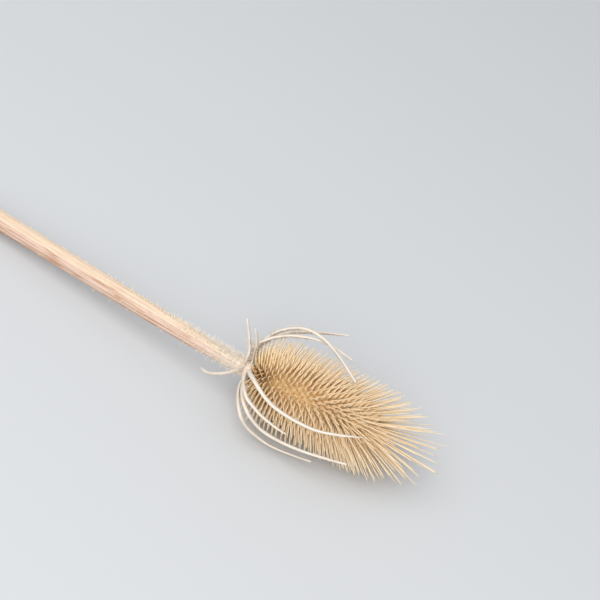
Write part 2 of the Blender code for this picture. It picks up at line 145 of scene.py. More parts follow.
class Wire:
    """A shader socket that Python's arithmetic can use: each operation adds a Math node."""

    def __init__(self, finish, socket):
        self.finish = finish
        self.socket = socket

    def work(self, operation, *values):
        inputs = dict(enumerate(values))
        return self.finish.node("ShaderNodeMath", {"operation": operation}, inputs)

    def __add__(self, other):
        return self.work("ADD", self, other)

    def __sub__(self, other):
        return self.work("SUBTRACT", self, other)

    def __rsub__(self, other):
        return self.work("SUBTRACT", other, self)

    def __mul__(self, other):
        return self.work("MULTIPLY", self, other)

    def __pow__(self, other):
        return self.work("POWER", self, other)

    __radd__ = __add__
    __rmul__ = __mul__


class Finish:
    """A material with one Principled shader, and one method that adds any node."""

    def __init__(self, name, roughness):
        self.material = bpy.data.materials.new(name)
        self.material.use_nodes = True
        self.tree = self.material.node_tree
        self.shader = self.tree.nodes["Principled BSDF"]
        self.shader.inputs["Roughness"].default_value = roughness

    def feed(self, socket, value):
        if isinstance(value, Wire):
            self.tree.links.new(value.socket, socket)
        else:
            socket.default_value = value

    def node(self, kind, settings=None, inputs=None, output=0):
        made = self.tree.nodes.new(kind)
        for name, value in (settings or {}).items():
            if name == "stops":
                ramp = made.color_ramp
                while len(ramp.elements) < len(value):
                    ramp.elements.new(0.5)
                for element, (place, colour) in zip(ramp.elements, value):
                    element.position = place
                    element.color = (*colour, 1)
            else:
                setattr(made, name, value)
        for key, value in (inputs or {}).items():
            self.feed(made.inputs[key], value)
        return Wire(self, made.outputs[output])

    def mix(self, factor, first, second, blend="MIX"):
        """Mixes two colours, given as wires or as red, green and blue."""
        colours = [side if isinstance(side, Wire) else (*side, 1) for side in (first, second)]
        settings = {"data_type": "RGBA", "blend_type": blend, "clamp_factor": True}
        return self.node("ShaderNodeMix", settings, {0: factor, 6: colours[0], 7: colours[1]}, 2)

    def map_place(self):
        """The two coordinates of the piece's own UV map, as a vector and as two numbers."""
        place = self.node("ShaderNodeUVMap", {"uv_map": UV_NAME})
        return place, self.part(place, 0), self.part(place, 1)

    def part(self, vector, index):
        return self.node("ShaderNodeSeparateXYZ", None, {0: vector}, index)

    def vector(self, x, y, z=0.0):
        return self.node("ShaderNodeCombineXYZ", None, {0: x, 1: y, 2: z})

    def noise(self, place, scale, detail=2.0):
        return self.node("ShaderNodeTexNoise", None, {"Vector": place, "Scale": scale, "Detail": detail})

    def wear(self, slot, value):
        self.feed(self.shader.inputs[slot], value)


def radial(angle):
    """The unit vector out of the head's axis at an angle from straight up."""
    return Vector((0, -math.sin(angle), math.cos(angle)))


def core_radius(along):
    """The core's radius at shares of its length from the neck."""
    turn = CORE_BASE_START + (1 - CORE_BASE_START) * np.asarray(along, float)
    return CORE_RADIUS * np.maximum(np.sin(np.pi * turn**CORE_SKEW), 0) ** CORE_FULLNESS


def core_places(per_turn, row_spacing):
    """Where each scale stands, as shares of the core's length, so that the scales keep their rows."""
    along = np.linspace(0, 1, CORE_STEPS)
    radii = core_radius(along)
    slant = np.hypot(np.diff(along) * CORE_LENGTH, np.diff(radii))
    middle = (radii[1:] + radii[:-1]) / 2
    pitch = 2 * math.pi * np.maximum(middle, SMALLEST_RING) / per_turn
    scales = np.concatenate(([0], np.cumsum(2 * math.pi * middle * slant / (row_spacing * pitch**2))))
    ends = (FIRST_SCALE_AT / CORE_LENGTH, 1 - LAST_SCALE_BELOW / CORE_LENGTH)
    start, end = np.interp(ends, along, scales)
    return np.interp(np.arange(start, end), scales, along)


def make_piece(name, points, faces, uvs, finish, slot, *nodes):
    """Makes a piece of points in head coordinates, with a UV for each corner of each face."""
    data = bpy.data.meshes.new(name)
    places = np.asarray(points, float) + np.array(NECK[:])
    data.from_pydata(places.tolist(), [], faces)
    layer = data.uv_layers.new(name=UV_NAME)
    layer.data.foreach_set("uv", np.asarray(uvs, np.float32).ravel())
    data.polygons.foreach_set("use_smooth", [True] * len(data.polygons))
    data.materials.append(finish.material)
    data.validate()
    data.update()
    piece = bpy.data.objects.new(name, data)
    bpy.context.scene.collection.objects.link(piece)
    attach(piece, "root")
    if nodes:
        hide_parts(*nodes)
    return piece


def smooth_route(corners, step_length):
    """Points at even steps along a smooth curve through the given corners."""
    padded = [2 * corners[0] - corners[1], *corners, 2 * corners[-1] - corners[-2]]
    fine = []
    for a, b, c, d in zip(padded, padded[1:], padded[2:], padded[3:]):
        for t in np.linspace(0, 1, 20, endpoint=False):
            fine.append(
                0.5 * ((2 * b) + (c - a) * t + (2 * a - 5 * b + 4 * c - d) * t**2
                       + (3 * b - a - 3 * c + d) * t**3)
            )
    fine.append(corners[-1])
    fine = np.array([list(point) for point in fine])
    travelled = np.concatenate(([0], np.cumsum(np.linalg.norm(np.diff(fine, axis=0), axis=1))))
    wanted = np.linspace(0, travelled[-1], round(travelled[-1] / step_length) + 1)
    return np.stack([np.interp(wanted, travelled, fine[:, axis]) for axis in range(3)], axis=1)


def bract_corners(route, sunk_root=0.0):
    """The corners of a bract's route, whose root can start deeper, inside the collar."""
    corners = [
        Vector((x * MM, 0, 0)) + radial(math.radians(angle)) * (reach * MM) for x, reach, angle in route
    ]
    if sunk_root:
        outward = Vector((0, corners[0].y, corners[0].z)).normalized()
        corners.insert(0, corners[0] - outward * sunk_root)
    return corners


def bract_tree():
    """Points all along the bracts, to keep the awns clear of them."""
    lines = [smooth_route(bract_corners(route), 0.7 * MM) for route in BRACT_ROUTES]
    points = np.concatenate(lines)
    tree = kdtree.KDTree(len(points))
    for index, point in enumerate(points):
        tree.insert(Vector(point), index)
    tree.balance()
    return tree


class ScaleField:
    """Every scale's root, direction and length, worked out from the head's settings."""

    def __init__(self, head):
        draw = np.random.default_rng(SEED)
        self.along = core_places(head.scales_per_turn, head.row_spacing)
        count = len(self.along)
        self.angle = -np.arange(count) * 2 * math.pi * (1 + 1 / head.scales_per_turn) / ROW_STARTS
        clumps = np.array([self.clump(along, angle) for along, angle in zip(self.along, self.angle)])
        far_side = np.maximum(np.cos(self.angle + 0.6), 0)
        self.slimness = 1 - 0.32 * far_side
        jitter = math.radians(head.awn_jitter) * (1 + 0.7 * far_side)
        lean = np.radians(np.interp(self.along, AWN_STATIONS, AWN_LEANS))
        lean += draw.normal(0, 1, count) * jitter + clumps[:, 0] * math.radians(head.awn_jitter) * 2
        self.swing = self.angle + draw.normal(0, 1, count) * jitter + clumps[:, 1] * math.radians(head.awn_jitter) * 2
        outward = self.radials(self.angle)
        swung = self.radials(self.swing)
        axis = np.array([1.0, 0, 0])
        self.direction = np.cos(lean)[:, None] * axis + np.sin(lean)[:, None] * swung
        self.root = self.along[:, None] * CORE_LENGTH * axis
        self.root += core_radius(self.along)[:, None] * outward
        step = 0.5 / CORE_STEPS
        low, high = np.maximum(self.along - step, 0), np.minimum(self.along + step, 1)
        rise = core_radius(high) - core_radius(low)
        run = (high - low) * CORE_LENGTH
        normal = run[:, None] * outward - rise[:, None] * axis
        self.normal = normal / np.linalg.norm(normal, axis=1)[:, None]
        length = np.interp(self.along, AWN_STATIONS, AWN_LENGTHS) * MM
        self.length = length * (1 + draw.uniform(-head.awn_length_jitter, head.awn_length_jitter, count))
        self.length *= 1 + np.interp(self.along, (0.9, 1), (0, 0.14)) * draw.uniform(-1, 1, count)
        self.clear_bracts()
        self.height = np.minimum(1, self.length / (11 * MM)) * head.scale_height
        self.bow = draw.normal(0.03, 0.012, count)
        self.sway = draw.normal(0, 0.012, count)
        self.twist = draw.normal(0, math.radians(7), count)
        self.column = draw.integers(0, head.shade_columns, count)
        self.girth = draw.normal(1, 0.08, count)

    @staticmethod
    def clump(along, angle):
        """A smooth drift of the awns, so that neighbours lean the same way."""
        place = Vector((along * 9, math.cos(angle) * 2.2, math.sin(angle) * 2.2))
        return noise.noise(place), noise.noise(place + Vector((31, 7, 3)))

    @staticmethod
    def radials(angles):
        return np.stack([np.zeros_like(angles), -np.sin(angles), np.cos(angles)], axis=1)

    def clear_bracts(self):
        tree = bract_tree()
        for index, root in enumerate(self.root):
            while self.length[index] > SHORTEST_AWN:
                reach = self.direction[index] * self.length[index]
                spots = (root + reach * share for share in (0.35, 0.5, 0.6, 0.7, 0.8, 0.9, 1.0))
                if all(tree.find(Vector(spot))[2] > 1.3 * MM for spot in spots):
                    break
                self.length[index] *= 0.95

    def points_at(self, travelled):
        """Each awn's middle line at distances from its root, one row for each scale."""
        share = travelled / self.length[:, None]
        lift = travelled / (3.5 * MM)
        raised = 0.4 * 2.4 * MM * lift * np.exp(1 - lift)
        lifted = (self.normal - self.direction)[:, None, :] * raised[:, :, None]
        axis = np.array([1.0, 0, 0])
        across = np.cross(axis, self.radials(self.swing))
        bend = share**2 * self.length[:, None]
        points = self.root[:, None, :] + self.direction[:, None, :] * travelled[:, :, None] + lifted
        points += axis * (bend * self.bow[:, None])[:, :, None]
        points += across[:, None, :] * (bend * self.sway[:, None])[:, :, None]
        floor = -AXIS_HEIGHT + 0.12 * MM
        soft = 0.35 * MM
        height = (points[:, :, 2] - floor) / soft
        points[:, :, 2] = floor + soft * np.where(height > 20, height, np.log1p(np.exp(np.minimum(height, 20))))
        return points


SCALE_FORM = (
    # distance up the scale as a share of its height, half width, fold, thickness (mm)
    (-0.06, 0.40, 0.20, 0.16),
    (0.16, 0.54, 0.36, 0.17),
    (0.38, 0.72, 0.56, 0.19),
    (0.60, 0.82, 0.66, 0.20),
    (0.76, 0.70, 0.48, 0.20),
    (0.88, 0.40, 0.18, 0.25),
    (1.00, 0.24, 0.02, 0.32),
)
AWN_FORM = (
    # share of the awn beyond the scale, half width, fold, thickness (mm)
    (0.30, 0.22, 0.0, 0.31),
    (0.62, 0.18, 0.0, 0.26),
    (0.88, 0.12, 0.0, 0.18),
)


def scale_mesh(head):
    """Points, faces and UVs of all the scales: each a folded blade that narrows into a long awn."""
    field = ScaleField(head)
    count = len(field.along)
    scale_form, awn_form = np.array(SCALE_FORM), np.array(AWN_FORM)
    height = field.height[:, None]
    beyond = field.length[:, None] - height
    travelled = np.concatenate(
        [height * scale_form[:, 0], height + beyond * awn_form[:, 0], field.length[:, None]], axis=1
    )
    middle = field.points_at(travelled)
    ahead = field.points_at(travelled + 0.05 * MM)
    tangent = ahead - middle
    tangent /= np.linalg.norm(tangent, axis=2)[:, :, None]
    across = np.cross(np.array([1.0, 0, 0]), field.radials(field.swing))[:, None, :]
    across = across - tangent * (across * tangent).sum(axis=2)[:, :, None]
    across /= np.linalg.norm(across, axis=2)[:, :, None]
    inward = np.cross(tangent, across)
    turn = field.twist[:, None, None]
    across, inward = across * np.cos(turn) + inward * np.sin(turn), inward * np.cos(turn) - across * np.sin(turn)
    forms = np.concatenate([scale_form, awn_form])
    crowding = np.interp(field.along, (0, 0.12, 0.8, 1), (0.75, 1, 0.95, 0.6))
    blade = np.array([1.0] * (len(SCALE_FORM) - 1) + [0.0] * (len(AWN_FORM) + 1))
    size = field.girth[:, None] * (1 + (crowding[:, None] - 1) * blade[None, :])
    slim = 1 + (field.slimness[:, None] - 1) * (1 - blade[None, :])
    half = forms[:, 1] * MM * size * slim * head.scale_width
    fold = forms[:, 2] * MM * size
    thick = forms[:, 3] * MM * slim
    outline = (
        (-1.0, 1.0, 0.0), (0.0, 0.0, -0.5), (1.0, 1.0, 0.0),
        (0.86, 1.0, 1.0), (0.0, 0.0, 0.75), (-0.86, 1.0, 1.0),
    )
    rings = []
    for sideways, folded, inner in outline:
        rings.append(
            middle[:, :-1] + across[:, :-1] * (half * sideways)[:, :, None]
            + inward[:, :-1] * (fold * folded + thick * (inner - 0.25))[:, :, None]
        )
    rings = np.stack(rings, axis=2)
    rounds = rings.shape[1]
    corners = rings.reshape(count, rounds * 6, 3)
    points = np.concatenate([corners, middle[:, -1:, :]], axis=1)
    each = rounds * 6 + 1
    pattern = []
    for ring in range(rounds - 1):
        for side in range(6):
            following = (side + 1) % 6
            low, high = ring * 6, ring * 6 + 6
            pattern.append((low + side, low + following, high + following, high + side))
    pattern.append((5, 4, 3, 2, 1, 0))
    top = (rounds - 1) * 6
    pattern += [(top + side, top + (side + 1) % 6, each - 1) for side in range(6)]
    columns = head.shade_columns
    sides = np.array((0.15, 0.5, 0.85, 0.75, 0.5, 0.25))
    heights = np.concatenate([scale_form[:, 0] * 0.5 + 0.03, 0.53 + 0.47 * awn_form[:, 0]])
    flat_u = np.concatenate([np.tile(sides, rounds), [0.5]])
    flat_v = np.concatenate([np.repeat(heights, 6), [1.0]])
    # Near the neck the map stays low, so the dark roots show as painted shade in the holes; further up it is lifted,
    # painting the gaps golden as light passing through the thin scales.
    gap_light_lifts = np.interp(field.along * CORE_LENGTH / MM, (0, 6, 11), (0.0, 0.08, 0.32))
    order = [corner for face in pattern for corner in face]
    faces, uvs = [], []
    for index in range(count):
        start = index * each
        faces += [tuple(corner + start for corner in face) for face in pattern]
        u = (field.column[index] + flat_u[order]) / columns
        lift = gap_light_lifts[index]
        uvs.append(np.stack([u, lift + (1 - lift) * flat_v[order]], axis=1))
    return points.reshape(-1, 3), faces, np.concatenate(uvs)


def tube(rings, seam_uvs, cap_uvs, ends=(True, True)):
    """Faces and UVs of a closed skin over rings that have the same count of points."""
    rounds, corners = len(rings), len(rings[0])
    faces, uvs = [], []
    for ring in range(rounds - 1):
        for side in range(corners):
            following = (side + 1) % corners
            faces.append(
                (ring * corners + side, ring * corners + following,
                 (ring + 1) * corners + following, (ring + 1) * corners + side)
            )
            for row, column in ((ring, side), (ring, side + 1), (ring + 1, side + 1), (ring + 1, side)):
                uvs.append(seam_uvs(row, column))
    last = (rounds - 1) * corners
    for wanted, order, row in ((ends[0], range(corners - 1, -1, -1), 0), (ends[1], range(corners), rounds - 1)):
        if wanted:
            faces.append(tuple(corner + (last if row else 0) for corner in order))
            uvs += [cap_uvs(row, corner) for corner in order]
    return faces, uvs


class SpineSet:
    """Gathers many small pointed things, such as prickles and hairs, into one mesh."""

    def __init__(self):
        self.points, self.faces, self.uvs = [], [], []

    def add(self, root, direction, along, length, width, depth, hook=0.0, sides=4, sink=0.3 * MM, spot=(0, 0)):
        """One thorn: width is across and depth is along the stalk, and its point can hook forward."""
        across = direction.cross(along).normalized()
        lengthwise = across.cross(direction).normalized()
        start = len(self.points)
        shares = (0.0, 0.3, 0.65)
        sizes = (1.0, 0.55, 0.28)
        for share, size in zip(shares, sizes):
            middle = root - direction * sink * (1 - share) + direction * length * share
            middle = middle + lengthwise * hook * length * share**2
            for side in range(sides):
                turn = 2 * math.pi * side / sides
                offset = lengthwise * math.cos(turn) * depth + across * math.sin(turn) * width
                self.points.append(middle + offset * size)
        self.points.append(root + direction * length + lengthwise * hook * length)
        tip = len(self.points) - 1
        for ring in range(len(shares) - 1):
            for side in range(sides):
                following = (side + 1) % sides
                low, high = start + ring * sides, start + (ring + 1) * sides
                self.faces.append((low + side, low + following, high + following, high + side))
                self.uvs += [self.place(spot, ring, side)] * 2
                self.uvs += [self.place(spot, ring + 1, side)] * 2
        top = start + (len(shares) - 1) * sides
        for side in range(sides):
            self.faces.append((top + side, top + (side + 1) % sides, tip))
            self.uvs += [self.place(spot, 2, side), self.place(spot, 2, side + 1), self.place(spot, 3, side)]
        self.faces.append(tuple(start + side for side in reversed(range(sides))))
        self.uvs += [self.place(spot, 0, side) for side in range(sides)]

    @staticmethod
    def place(spot, ring, side):
        return (spot[0] + side * 0.02, spot[1] + ring * 0.2)


def add_spines(name, spines, finish, slot, *nodes):
    return make_piece(name, [tuple(point) for point in spines.points], spines.faces, spines.uvs, finish, slot, *nodes)


def stem_point(t):
    """The stem's middle line at a share of its curve from the cut end, and its direction."""
    neck = Vector((-GAP, 0, 0))
    cut = Vector((-STEM_REACH, STEM_SIDESTEP, STEM_RADIUS * (1 + STEM_RIB_DEPTH) - AXIS_HEIGHT))
    straight = cut.lerp(neck, STEM_STRAIGHT)
    level = neck - Vector((STEM_LEVEL_END, 0, 0))
    u = 1 - t
    point = u**3 * cut + 3 * u**2 * t * straight + 3 * u * t**2 * level + t**3 * neck
    along = u**2 * (straight - cut) + 2 * u * t * (level - straight) + t**2 * (neck - level)
    return point, along.normalized()


class StemLine:
    """The stem's middle line, measured from its cut end, with a frame at each place."""

    def __init__(self):
        shares = np.linspace(0, 1, 401)
        self.points = [stem_point(float(t))[0] for t in shares]
        steps = [(b - a).length for a, b in zip(self.points, self.points[1:])]
        self.travelled = np.concatenate(([0], np.cumsum(steps)))
        self.shares = shares
        self.length = float(self.travelled[-1])

    def frame(self, travelled):
        share = float(np.interp(travelled, self.travelled, self.shares))
        point, direction = stem_point(share)
        side = direction.cross(Vector((0, 0, 1))).normalized()
        return point, side, side.cross(direction), direction

    def surface(self, travelled, turn):
        """A point on the stem at an angle from straight down, its outward direction and the stem's."""
        point, side, top, direction = self.frame(travelled)
        outward = side * math.sin(turn) - top * math.cos(turn)
        return point + outward * self.reach(travelled, turn), outward, direction

    def reach(self, travelled, turn):
        to_neck = self.length - travelled
        stations = (0, COLLAR_CYLINDER, COLLAR_LENGTH + 1.5 * MM, NECK_LENGTH + 2 * MM, STEM_MIDDLE_FROM, STEM_REACH)
        radii = (
            COLLAR_RADIUS, COLLAR_RADIUS * 0.98, STEM_NECK_RADIUS * 1.02, STEM_NECK_RADIUS,
            STEM_MIDDLE_RADIUS, STEM_RADIUS,
        )
        radius = float(np.interp(to_neck, stations, radii))
        depth = float(np.interp(to_neck, (COLLAR_LENGTH, NECK_LENGTH + 6 * MM), (0.025, STEM_RIB_DEPTH)))
        wander = noise.noise(Vector((travelled * 22, 4.1, 0.7))) * 0.12
        ridge = abs(math.cos(STEM_RIBS / 2 * (turn + wander)))
        main = -1 + 2 * ridge**0.55
        fibre_place = Vector((math.cos(turn) * 6.5, math.sin(turn) * 6.5, travelled * 26))
        fine = noise.noise(fibre_place) * 0.028
        lumps = noise.noise(Vector((math.cos(turn) * 0.8, math.sin(turn) * 0.8, travelled * 55))) * 0.02
        return radius * (1 + depth * main + fine + lumps)


class TeaselHeadSettings(PropertyGroup):
    scales_per_turn: IntProperty(name="Scales round", description="Scales in one turn of a row", default=26, min=6)
    row_spacing: FloatProperty(
        name="Row spacing", description="Distance between rows, as a share of that between neighbours",
        default=1.0, min=0.3)
    scale_height: FloatProperty(
        name="Scale height", description="How far a scale stands out before its awn", default=6.8 * MM,
        unit="LENGTH", subtype="DISTANCE", precision=5)
    scale_width: FloatProperty(
        name="Scale width", description="Width of the scales, as a share of the usual", default=1.0)
    awn_jitter: FloatProperty(
        name="Awn jitter", description="How far the awns stray from their even fan, in degrees", default=0.6)
    awn_length_jitter: FloatProperty(
        name="Length jitter", description="How much the awns' lengths differ, as a share", default=0.07)
    shade_columns: IntProperty(
        name="Shades", description="How many shades the scales are spread over", default=40, min=2)
    # The root colour is the scales' own brown at their roots and also painted shade in the holes near the neck.
    root_and_hole_shade_colour: FloatVectorProperty(
        name="Root", description="Colour deep between the scales", subtype="COLOR", default=(0.22, 0.07, 0.014))
    scale_colour: FloatVectorProperty(
        name="Scale", description="Golden colour of the scales", subtype="COLOR", default=(1.0, 0.75, 0.38))
    awn_colour: FloatVectorProperty(
        name="Awn", description="Straw colour of the awns", subtype="COLOR", default=(0.95, 0.72, 0.44))
    tip_colour: FloatVectorProperty(
        name="Tip", description="Pale colour of the awns' ends", subtype="COLOR", default=(0.87, 0.71, 0.50))
    rim_colour: FloatVectorProperty(
        name="Rim", description="Pale colour of the scales' edges", subtype="COLOR", default=(1.0, 0.87, 0.64))


class TeaselStemSettings(PropertyGroup):
    sides: IntProperty(name="Sides", description="Faces round the stem", default=120, min=20)
    rounds: IntProperty(name="Rings", description="Rings along the stem", default=260, min=20)
    prickle_count: IntProperty(name="Prickles", description="Prickles on the ribs", default=270, min=0)
    hair_count: IntProperty(name="Hairs", description="Fine hairs below the collar", default=1150, min=0)
    # The ridge colour is the ribs' own cream and also the painted light along the stalk's top.
    ridge_and_lit_top_colour: FloatVectorProperty(
        name="Ridge", description="Colour of the ribs", subtype="COLOR", default=(0.76, 0.60, 0.44))
    groove_colour: FloatVectorProperty(
        name="Groove", description="Colour of the grooves", subtype="COLOR", default=(0.64, 0.46, 0.37))
    # The line colour is the fine lines' own brown and also the painted shade along the stalk's underside.
    line_and_underside_shade_colour: FloatVectorProperty(
        name="Lines", description="Colour of the fine lines along the stalk", subtype="COLOR",
        default=(0.44, 0.23, 0.12))
    collar_colour: FloatVectorProperty(
        name="Collar", description="Colour near the head", subtype="COLOR", default=(0.72, 0.64, 0.55))
    pith_colour: FloatVectorProperty(
        name="Pith", description="Colour inside the cut end", subtype="COLOR", default=(0.80, 0.70, 0.52))


class TeaselBractSettings(PropertyGroup):
    root_width: FloatProperty(
        name="Root width", description="Width where a bract leaves the collar", default=2.0 * MM,
        unit="LENGTH", subtype="DISTANCE", precision=5)
    width: FloatProperty(
        name="Width", description="Width of a bract's middle", default=1.6 * MM,
        unit="LENGTH", subtype="DISTANCE", precision=5)
    tip_width: FloatProperty(
        name="Tip width", description="Width of a bract's end", default=0.85 * MM,
        unit="LENGTH", subtype="DISTANCE", precision=5)
    colour: FloatVectorProperty(
        name="Blade", description="Colour of the bracts", subtype="COLOR", default=(0.76, 0.68, 0.58))
    shade_colour: FloatVectorProperty(
        name="Stains", description="Colour of the darker stretches", subtype="COLOR", default=(0.64, 0.51, 0.40))


class TeaselStageSettings(PropertyGroup):
    floor_colour: FloatVectorProperty(
        name="Floor", description="Colour of the floor", subtype="COLOR", default=(0.56, 0.567, 0.573))
    camera_turn: FloatProperty(name="Camera turn", description="Camera's angle round the head, degrees", default=10.0)
    camera_rise: FloatProperty(name="Camera rise", description="Camera's angle above level, degrees", default=42.0)
    camera_roll: FloatProperty(name="Camera roll", description="Camera's roll, degrees", default=19.05)
    camera_field: FloatProperty(name="Field of view", description="Camera's field of view, degrees", default=20.0)
    camera_distance: FloatProperty(
        name="Distance", description="Camera's distance from the point that it looks at", default=647.2 * MM,
        unit="LENGTH", subtype="DISTANCE")


def stops(*pairs):
    return [(place, tuple(colour)) for place, colour in pairs]


def scale_finish(head):
    """Dark between the scales, golden on them and pale along the awns, by the map's height alone; the dark roots are
    partly the scales' own brown and partly painted shade in the holes near the neck.
    """
    finish = Finish("straw scales", 0.6)
    _, across, up = finish.map_place()
    column = finish.node("ShaderNodeMath", {"operation": "FLOOR"}, {0: across * head.shade_columns})
    shade = finish.node("ShaderNodeTexWhiteNoise", {"noise_dimensions": "1D"}, {"W": column + 0.5})
    shifted = up + (shade - 0.5) * 0.10
    colour = finish.node(
        "ShaderNodeValToRGB",
        {"stops": stops((0.02, head.root_and_hole_shade_colour), (0.11, Vector(head.root_and_hole_shade_colour).lerp(Vector(head.scale_colour), 0.5)),
                        (0.22, head.scale_colour), (0.50, head.awn_colour), (0.95, head.tip_colour))},
        {"Fac": shifted},
    )
    tone = finish.node(
        "ShaderNodeTexWhiteNoise", {"noise_dimensions": "1D"}, {"W": column + 100.5})
    warm = finish.mix(tone * 0.35, colour, (0.93, 0.80, 0.62), "MULTIPLY")
    sideways = finish.node("ShaderNodeMath", {"operation": "FRACT"}, {0: across * head.shade_columns})
    off_middle = finish.node("ShaderNodeMath", {"operation": "ABSOLUTE"}, {0: sideways - 0.5})
    smooth = {"interpolation_type": "SMOOTHSTEP"}
    rim = finish.node("ShaderNodeMapRange", smooth, {0: off_middle, 1: 0.22, 2: 0.33, 3: 0.0, 4: 1.0})
    on_blade = finish.node("ShaderNodeMapRange", smooth, {0: up, 1: 0.56, 2: 0.72, 3: 1.0, 4: 0.0})
    above_root = finish.node("ShaderNodeMapRange", smooth, {0: up, 1: 0.10, 2: 0.22, 3: 0.0, 4: 1.0})
    finish.wear("Base Color", finish.mix(rim * on_blade * above_root, warm, head.rim_colour))
    return finish


class TEASEL_OT_scales(Operator):
    """Grows the scales and awns in one spiral over the head's core"""

    bl_idname = "teasel.scales"
    bl_label = "Grow scales and awns"

    def execute(self, context):
        head = context.scene.teasel_head
        points, faces, uvs = scale_mesh(head)
        make_piece("scales_and_awns", points, faces, uvs, scale_finish(head), "spines", "seed_head")
        return {"FINISHED"}


class TEASEL_OT_core(Operator):
    """Makes the head's core, which shows between the scales"""

    bl_idname = "teasel.core"
    bl_label = "Make the core"

    def execute(self, context):
        head = context.scene.teasel_head
        sides, rounds = 72, 72
        rings, places = [], np.linspace(0, 1, rounds)
        for along in places:
            radius = max(float(core_radius(along)), 0.05 * MM)
            ring = []
            for side in range(sides):
                turn = 2 * math.pi * side / sides
                bump = 1 + 0.05 * noise.noise(Vector((along * 60, math.cos(turn) * 6, math.sin(turn) * 6)))
                ring.append(Vector((along * CORE_LENGTH, 0, 0)) + radial(turn) * (radius * bump))
            rings.append(ring)
        faces, uvs = tube(
            rings, lambda row, column: (column / sides, 0.04 + 0.92 * row / (rounds - 1)),
            lambda row, corner: (corner / sides, 0.0 if row == 0 else 1.0))
        finish = Finish("dark core", 0.8)
        place, _, _ = finish.map_place()
        speckle = finish.noise(place, 60.0, 3.0)
        # Painted shade: the core is dark near the neck, as shade in the holes there, and golden further up.
        golden = Vector(head.scale_colour)
        base = finish.node(
            "ShaderNodeValToRGB",
            {"stops": stops((0.08, head.root_and_hole_shade_colour), (0.22, Vector(head.root_and_hole_shade_colour).lerp(golden, 0.95)))},
            {"Fac": finish.map_place()[2]})
        finish.wear("Base Color", finish.mix(speckle * 0.3, base, (0.90, 0.72, 0.50), "MULTIPLY"))
        points = [tuple(point) for ring in rings for point in ring]
        make_piece("head_core", points, faces, uvs, finish, "spines", "seed_head")
        return {"FINISHED"}


def stalk_finish(stem):
    """Cream ribs and pinkish grooves that run along the stalk, paler towards the head, with painted light along its top
    and painted shade along its underside.
    """
    finish = Finish("striped stalk", 0.72)
    place, around, along = finish.map_place()
    streaks = finish.noise(finish.vector(around * 62.0, along * 3.2), 1.0, 3.0)
    fine = finish.noise(finish.vector(around * 210.0, along * 9.0, 4.0), 1.0, 2.0)
    blotch = finish.noise(finish.vector(around * 3.0, along * 16.0, 9.0), 1.0, 2.0)
    smooth = {"interpolation_type": "SMOOTHSTEP"}
    # Across the stalk the map counts from straight down: a band along the top is painted in the ridge colour as light
    # from above.
    wavering = around + (blotch - 0.5) * 0.05
    above = finish.node("ShaderNodeMapRange", smooth, {0: wavering, 1: 0.34, 2: 0.42, 3: 0.0, 4: 1.0})
    beyond = finish.node("ShaderNodeMapRange", smooth, {0: wavering, 1: 0.66, 2: 0.76, 3: 1.0, 4: 0.0})
    lit_top_band = above * beyond
    cream_and_top_light = 0.12 + lit_top_band * 0.80 + (streaks - 0.5) * 0.9 + (fine - 0.5) * 0.5
    colour = finish.mix(cream_and_top_light, stem.groove_colour, stem.ridge_and_lit_top_colour)
    wander = finish.noise(finish.vector(around * 34.0, along * 5.0, 15.0), 1.0, 2.0)
    off_line = finish.node("ShaderNodeMath", {"operation": "ABSOLUTE"}, {0: wander - 0.5})
    lines = finish.node(
        "ShaderNodeMapRange", {"interpolation_type": "SMOOTHSTEP"},
        {0: off_line, 1: 0.012, 2: 0.06, 3: 0.9, 4: 0.0})
    colour = finish.mix(lines * (1.0 - lit_top_band * 0.7) * (fine * 2.0), colour, stem.line_and_underside_shade_colour)
    # Painted shade: the underside nearest straight down darkens towards the line colour.
    shaded_underside = finish.node("ShaderNodeMapRange", smooth, {0: wavering, 1: 0.10, 2: 0.22, 3: 0.65, 4: 0.0})
    colour = finish.mix(shaded_underside, colour, stem.line_and_underside_shade_colour)
    near_head = finish.node(
        "ShaderNodeMapRange", {"interpolation_type": "SMOOTHSTEP"},
        {0: along, 1: 0.80, 2: 0.985, 3: 0.0, 4: 0.75})
    colour = finish.mix(near_head, colour, stem.collar_colour)
    finish.wear("Base Color", colour)
    bump = finish.node(
        "ShaderNodeBump", None,
        {"Strength": 0.35, "Distance": 0.12 * MM, "Height": streaks * 0.6 + fine * 0.4})
    finish.wear("Normal", bump)
    return finish


